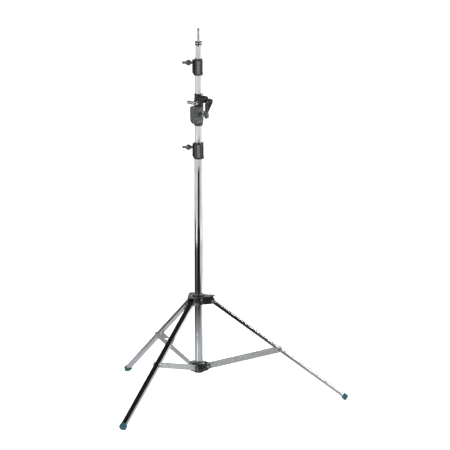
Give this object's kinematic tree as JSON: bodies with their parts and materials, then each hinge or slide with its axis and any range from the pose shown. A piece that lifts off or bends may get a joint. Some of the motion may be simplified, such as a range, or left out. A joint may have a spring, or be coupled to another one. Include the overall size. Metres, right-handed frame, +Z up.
{
  "type": "crank lighting stand",
  "caption": "Folding tripod stand with three telescopic risers, the middle one raised by a crank and rack, and a 16 mm spigot on top.",
  "frame": {"origin": "on the column axis at floor level, under the middle of the tripod", "axes": "+Z up the column, +X along the leg on the viewer's right, +Y away from the viewer"},
  "size_m": [1.2415, 1.4316, 2.053],
  "materials": {
    "chrome_tube": "bright chrome-plated steel",
    "zinc_plate": "satin zinc plate",
    "black_casting": "glossy black enamel on castings",
    "grey_casting": "dark grey enamel, semi-gloss",
    "black_plastic": "fine-grained black plastic",
    "nylon": "natural nylon",
    "foot_plastic": "moulded blue plastic",
    "bolt_steel": "machined steel"
  },
  "bodies": {
    "column": {"base_tube": "chrome_tube", "base_end_plug": "black_plastic", "lower_collar": "black_casting", "lower_collar_screw": "black_plastic", "mid_collar": "black_casting", "mid_bush": "nylon", "mid_collar_pin": "zinc_plate", "brace_pivot_bolt_right": "bolt_steel", "brace_pivot_bolt_back": "bolt_steel", "brace_pivot_bolt_front": "bolt_steel"},
    "mid_knob": {"mid_knob": "grey_casting"},
    "leg_collar": {"leg_collar": "black_casting", "leg_collar_bush": "nylon", "leg_collar_screw": "zinc_plate", "leg_pivot_bolt_right": "bolt_steel", "leg_pivot_bolt_back": "bolt_steel", "leg_pivot_bolt_front": "bolt_steel"},
    "leg_knob": {"leg_knob": "grey_casting"},
    "leg_right": {"leg_right": "chrome_tube", "foot_right": "foot_plastic", "leg_sleeve_right": "bolt_steel"},
    "brace_right": {"brace_right": "zinc_plate", "brace_bolt_right": "bolt_steel"},
    "leg_back": {"leg_back": "chrome_tube", "foot_back": "foot_plastic", "leg_sleeve_back": "bolt_steel"},
    "brace_back": {"brace_back": "zinc_plate", "brace_bolt_back": "bolt_steel"},
    "leg_front": {"leg_front": "chrome_tube", "foot_front": "foot_plastic", "leg_sleeve_front": "bolt_steel"},
    "brace_front": {"brace_front": "zinc_plate", "brace_bolt_front": "bolt_steel"},
    "riser_1": {"riser_1": "chrome_tube", "gear_housing": "grey_casting", "gear_cover": "grey_casting", "cover_screw_left": "bolt_steel", "cover_screw_right": "bolt_steel", "cover_screw_top": "bolt_steel", "guide_sleeve": "black_plastic", "release_pin": "zinc_plate", "shaft_bush": "nylon"},
    "crank": {"crank_shaft": "bolt_steel", "pinion": "bolt_steel", "crank_hub": "grey_casting", "crank_arm": "black_plastic", "grip_bolt": "bolt_steel"},
    "grip": {"crank_grip": "black_plastic"},
    "lock_lever": {"lock_lever": "zinc_plate", "lock_cap": "black_plastic"},
    "riser_2": {"riser_2": "chrome_tube", "rack": "bolt_steel", "top_collar": "black_casting", "top_bush": "nylon", "top_collar_pin": "zinc_plate"},
    "top_knob": {"top_knob": "grey_casting"},
    "riser_3": {"riser_3": "chrome_tube", "stud": "chrome_tube", "ring_lower": "black_plastic", "ring_upper": "black_plastic"}
  },
  "joints": [
    {"name": "leg_collar_slide", "type": "slide", "parent": "column", "child": "leg_collar", "axis": [0, 0, 1], "range_m": [0, 0.489]},
    {"name": "leg_right_hinge", "type": "hinge", "parent": "leg_collar", "child": "leg_right", "pos_m": [0.078, 0, 0.55], "axis": [0, 1, 0], "range_deg": [0, 53.64]},
    {"name": "leg_back_hinge", "type": "hinge", "parent": "leg_collar", "child": "leg_back", "pos_m": [-0.039, 0.06755, 0.55], "axis": [-0.866, -0.5, 0], "range_deg": [0, 53.64]},
    {"name": "leg_front_hinge", "type": "hinge", "parent": "leg_collar", "child": "leg_front", "pos_m": [-0.039, -0.06755, 0.55], "axis": [0.866, -0.5, 0], "range_deg": [0, 53.64]},
    {"name": "brace_right_hinge", "type": "hinge", "parent": "column", "child": "brace_right", "pos_m": [0.052, 0, 0.191], "axis": [0, -1, 0], "range_deg": [0, 72.96]},
    {"name": "brace_back_hinge", "type": "hinge", "parent": "column", "child": "brace_back", "pos_m": [-0.026, 0.04503, 0.191], "axis": [0.866, 0.5, 0], "range_deg": [0, 72.96]},
    {"name": "brace_front_hinge", "type": "hinge", "parent": "column", "child": "brace_front", "pos_m": [-0.026, -0.04503, 0.191], "axis": [-0.866, 0.5, 0], "range_deg": [0, 72.96]},
    {"name": "riser_1_slide", "type": "slide", "parent": "column", "child": "riser_1", "axis": [0, 0, 1], "range_m": [-0.088, 0.85]},
    {"name": "riser_2_slide", "type": "slide", "parent": "riser_1", "child": "riser_2", "axis": [0, 0, 1], "range_m": [-0.08, 0.864]},
    {"name": "crank_turn", "type": "hinge", "parent": "riser_1", "child": "crank", "pos_m": [-0.0139, -0.01986, 1.585], "axis": [0.8192, -0.5736, 0], "range_deg": [-601, 6481]},
    {"name": "grip_turn", "type": "hinge", "parent": "crank", "child": "grip", "pos_m": [0.01585, -0.06454, 1.67695], "axis": [0.8192, -0.5736, 0], "continuous": true},
    {"name": "riser_3_slide", "type": "slide", "parent": "riser_2", "child": "riser_3", "axis": [0, 0, 1], "range_m": [-0.07, 0.85]},
    {"name": "lock_lever_turn", "type": "hinge", "parent": "riser_1", "child": "lock_lever", "pos_m": [-0.00738, -0.03146, 1.6475], "axis": [-0.5736, -0.8192, 0], "range_deg": [-80, 0]},
    {"name": "mid_knob_turn", "type": "hinge", "parent": "column", "child": "mid_knob", "pos_m": [-0.05, 0, 1.402], "axis": [-1, 0, 0], "range_deg": [0, 450]},
    {"name": "top_knob_turn", "type": "hinge", "parent": "riser_2", "child": "top_knob", "pos_m": [-0.05, 0, 1.865], "axis": [-1, 0, 0], "range_deg": [0, 450]},
    {"name": "leg_knob_turn", "type": "hinge", "parent": "leg_collar", "child": "leg_knob", "pos_m": [-0.0464, 0, 0.5452], "axis": [-0.6225, 0, -0.7826], "range_deg": [0, 450]}
  ],
  "couplings": [
    {"joint": "leg_right_hinge", "follows": "leg_collar_slide", "rad_per_m": 1.9127},
    {"joint": "leg_back_hinge", "follows": "leg_collar_slide", "rad_per_m": 1.9127},
    {"joint": "leg_front_hinge", "follows": "leg_collar_slide", "rad_per_m": 1.9127},
    {"joint": "brace_right_hinge", "follows": "leg_collar_slide", "rad_per_m": 2.6025},
    {"joint": "brace_back_hinge", "follows": "leg_collar_slide", "rad_per_m": 2.6025},
    {"joint": "brace_front_hinge", "follows": "leg_collar_slide", "rad_per_m": 2.6025},
    {"joint": "crank_turn", "follows": "riser_2_slide", "rad_per_m": 130.9}
  ]
}
